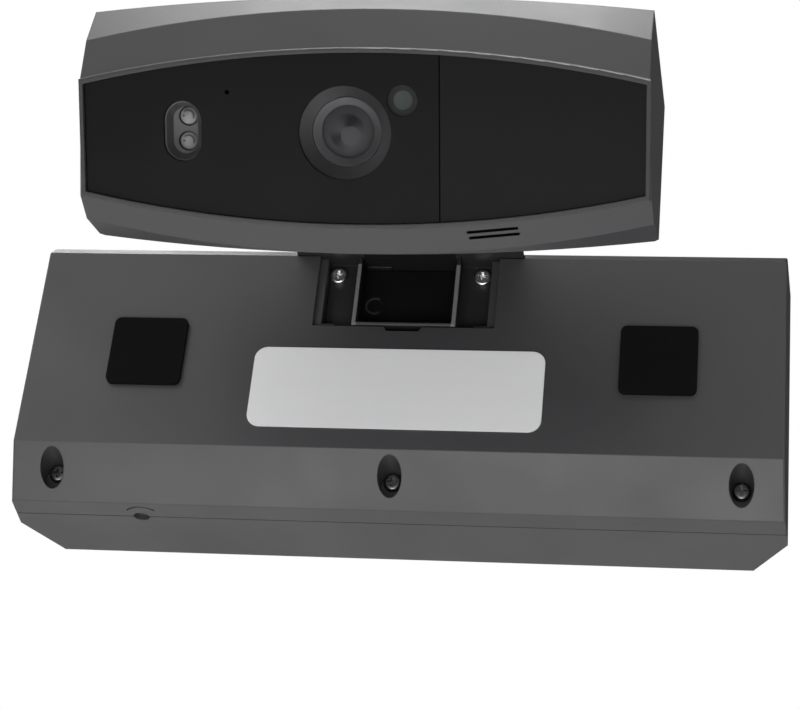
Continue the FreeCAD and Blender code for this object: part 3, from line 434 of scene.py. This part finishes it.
GREY = (0.0505, 0.0500, 0.0530)
finish = {
    "housing_grey": moulded("housing_grey", GREY, rough=0.46, edge=0.5, seam_shade=PARTING_LINE),
    "housing_dark": moulded("housing_dark", (0.022, 0.022, 0.024), rough=0.5),
    "glass_black": smoked_glass("glass_black"),
    "panel_black": panel_plastic("panel_black"),
    "pad_rubber": moulded("pad_rubber", (0.0060, 0.0060, 0.0062), rough=0.75, grain=0.5, edge=0.3,
                          specular=0.05, grain_scale=1500.0),
    "label_silver": foil("label_silver", (0.97, 0.97, 0.975)),
    "screw_steel": metal("screw_steel", (0.70, 0.69, 0.68), rough=0.30, scratch=0.05, shade_below=CHIN_TOP),
    "strap_steel": strap_paint("strap_steel"),
    "cell_metal": metal("cell_metal", (0.42, 0.42, 0.43), rough=0.3, stretch=(0.05, 1, 1)),
    "contact_metal": metal("contact_metal", (0.72, 0.70, 0.66), rough=0.22),
    "board_green": moulded("board_green", (0.012, 0.075, 0.035), rough=0.35, grain=0.1, edge=0.1),
    "speaker_black": black_plastic("speaker_black"),
    "lens_glass": coated_lens("lens_glass"),
    "lens_metal": optics_metal("lens_metal"),
    "ribbon_film": moulded("ribbon_film", (0.014, 0.013, 0.012), rough=0.35),
    "foam": moulded("foam", (0.01, 0.01, 0.01), rough=0.9, grain=0.8),
    "sensor_metal": metal("sensor_metal", (0.5, 0.5, 0.5), rough=0.35),
    "light_pipe": clear_resin("light_pipe", (0.42, 0.50, 0.45), 1.0, 0.35),
    "lamp_epoxy": lamp_resin("lamp_epoxy"),
    "button_white": moulded("button_white", (0.6, 0.6, 0.6), rough=0.3, grain=0.03),
}
slot_of = {s["node"]: s["material_slot"] for s in frame["record"]["subparts"]}
for name, obj in nodes.items():
    obj.data.materials.clear()
    obj.data.materials.append(finish[slot_of[name]])


# ------------------------------------------------------------------ stage, lights, camera


AIM = (0.0, -0.03, -0.03)


def seen_rays(tree, path):
    """One for the rays that show the background: camera, glossy and transmission."""
    seen = path.outputs["Is Camera Ray"]
    for ray in ("Is Glossy Ray", "Is Transmission Ray"):
        either = tree.nodes.new("ShaderNodeMath")
        either.operation = "MAXIMUM"
        tree.links.new(seen, either.inputs[0])
        tree.links.new(path.outputs[ray], either.inputs[1])
        seen = either.outputs[0]
    return seen


def stage_floor():
    mesh = bpy.data.meshes.new("floor")
    work = bmesh.new()
    bmesh.ops.create_grid(work, x_segments=1, y_segments=1, size=6.0)
    work.to_mesh(mesh)
    work.free()
    floor = bpy.data.objects.new("floor", mesh)
    floor.location = (0, 0, FLOOR_Z)
    bpy.context.scene.collection.objects.link(floor)
    g = Graph("floor_paint")
    cloud = g.noise(1.5, 3.0)
    tint = g.ramp(cloud, "Fac", (0.80, 0.80, 0.80), (0.84, 0.84, 0.84))
    g.link(tint, "Color", g.shader, "Base Color")
    g.shader.inputs["Roughness"].default_value = 0.8
    g.shader.inputs["Specular IOR Level"].default_value = 0.1
    paper = g.add("ShaderNodeEmission")
    paper.inputs["Strength"].default_value = 0.95
    share = g.add("ShaderNodeMixShader")
    seen = seen_rays(g.tree, g.add("ShaderNodeLightPath"))
    g.tree.links.new(g.math("MULTIPLY", seen, 0.65), share.inputs[0])
    g.tree.links.new(g.shader.outputs["BSDF"], share.inputs[1])
    g.tree.links.new(paper.outputs["Emission"], share.inputs[2])
    g.tree.links.new(share.outputs["Shader"], g.out.inputs["Surface"])
    mesh.materials.append(g.material)
    return floor


def dark_flag():
    """A dark card behind the right end, which only reflections see; it keeps the end faces' outline."""
    mesh = bpy.data.meshes.new("flag")
    work = bmesh.new()
    bmesh.ops.create_grid(work, x_segments=1, y_segments=1, size=1.6)
    work.to_mesh(mesh)
    work.free()
    flag = bpy.data.objects.new("flag", mesh)
    flag.location = (0.9, 1.1, 0.85)
    flag.rotation_euler = (Vector(AIM) - flag.location).to_track_quat("Z", "Y").to_euler()
    flag.visible_camera = flag.visible_diffuse = False
    bpy.context.scene.collection.objects.link(flag)
    g = Graph("flag_cloth")
    weave = g.noise(40.0, 3.0)
    g.link(g.ramp(weave, "Fac", (0.02, 0.02, 0.02), (0.03, 0.03, 0.03)), "Color", g.shader, "Base Color")
    g.shader.inputs["Roughness"].default_value = 1.0
    mesh.materials.append(g.material)


def world_light(strength):
    world = bpy.data.worlds.new("studio")
    world.use_nodes = True
    bpy.context.scene.world = world
    tree = world.node_tree
    tree.nodes.clear()
    out = tree.nodes.new("ShaderNodeOutputWorld")
    mix = tree.nodes.new("ShaderNodeMixShader")
    path = tree.nodes.new("ShaderNodeLightPath")
    ambient = tree.nodes.new("ShaderNodeBackground")
    shown = tree.nodes.new("ShaderNodeBackground")
    ambient.inputs["Color"].default_value = (0.97, 0.98, 1.0, 1)
    ambient.inputs["Strength"].default_value = strength
    shown.inputs["Color"].default_value = (1, 1, 1, 1)
    shown.inputs["Strength"].default_value = 1.0
    tree.links.new(seen_rays(tree, path), mix.inputs[0])
    tree.links.new(ambient.outputs[0], mix.inputs[1])
    tree.links.new(shown.outputs[0], mix.inputs[2])
    tree.links.new(mix.outputs[0], out.inputs["Surface"])


def lit_group(name, pieces):
    """The pieces that a flagged lamp reaches."""
    group = bpy.data.collections.new(name)
    for piece in pieces:
        group.objects.link(piece)
    return group


def area_light(name, place, size, power, reaches=None):
    lamp = bpy.data.lights.new(name, "AREA")
    lamp.shape = "RECTANGLE"
    lamp.size, lamp.size_y = size
    lamp.energy = power
    obj = bpy.data.objects.new(name, lamp)
    obj.location = place
    obj.rotation_euler = (Vector(AIM) - Vector(place)).to_track_quat("-Z", "Y").to_euler()
    bpy.context.scene.collection.objects.link(obj)
    if reaches:
        obj.light_linking.receiver_collection = reaches


def camera():
    data = bpy.data.cameras.new("camera")
    data.sensor_width = 36.0
    data.sensor_fit = "HORIZONTAL"
    data.lens = 107.289
    data.clip_start = 0.01
    data.clip_end = 50.0
    obj = bpy.data.objects.new("camera", data)
    obj.location = (0.1067, -0.5788, -0.3955)
    obj.rotation_euler = Euler((math.radians(120.42), math.radians(-5.28), math.radians(6.84)), "XYZ")
    bpy.context.scene.collection.objects.link(obj)
    bpy.context.scene.camera = obj


floor = stage_floor()
bodies = frame["record"]["behaviour"]["bodies"]
outdoors = set(bodies["outdoor_unit"]) | set(bodies["night_filter"])
head_group = lit_group("lit_head", [obj for name, obj in nodes.items() if name in outdoors])
box_group = lit_group("lit_box", [obj for name, obj in nodes.items() if name not in outdoors] + [floor])

dark_flag()
world_light(0.2)
area_light("head_top_left", (-0.45, -0.32, 1.0), (0.4, 0.4), 1.4, head_group)
area_light("head_top_middle", (-0.12, -0.42, 1.05), (0.4, 0.4), 8.4, head_group)
area_light("head_top_right", (0.15, -0.42, 1.05), (0.4, 0.4), 4.6, head_group)
area_light("head_floor", (0.0, -0.45, -0.58), (0.6, 0.3), 0.8, head_group)
area_light("head_under", (0.0, 0.05, -0.58), (0.8, 0.4), 1.2, head_group)
area_light("box_front_left", (-0.70, -0.95, 0.5), (0.5, 0.5), 1.8, box_group)
area_light("box_floor", (0.0, -0.50, -0.55), (0.6, 0.3), 3.0, box_group)
area_light("back_top", (-0.55, 0.75, 0.9), (0.5, 0.5), 5.0)
area_light("back_left", (-0.9, 0.9, 0.4), (0.6, 0.6), 6.0)
area_light("side_right", (1.2, 0.15, 0.2), (0.5, 0.5), 1.0)
area_light("back_low", (-0.3, 1.1, 0.2), (0.6, 0.6), 2.5)
camera()

bpy.context.scene.view_settings.view_transform = "Standard"

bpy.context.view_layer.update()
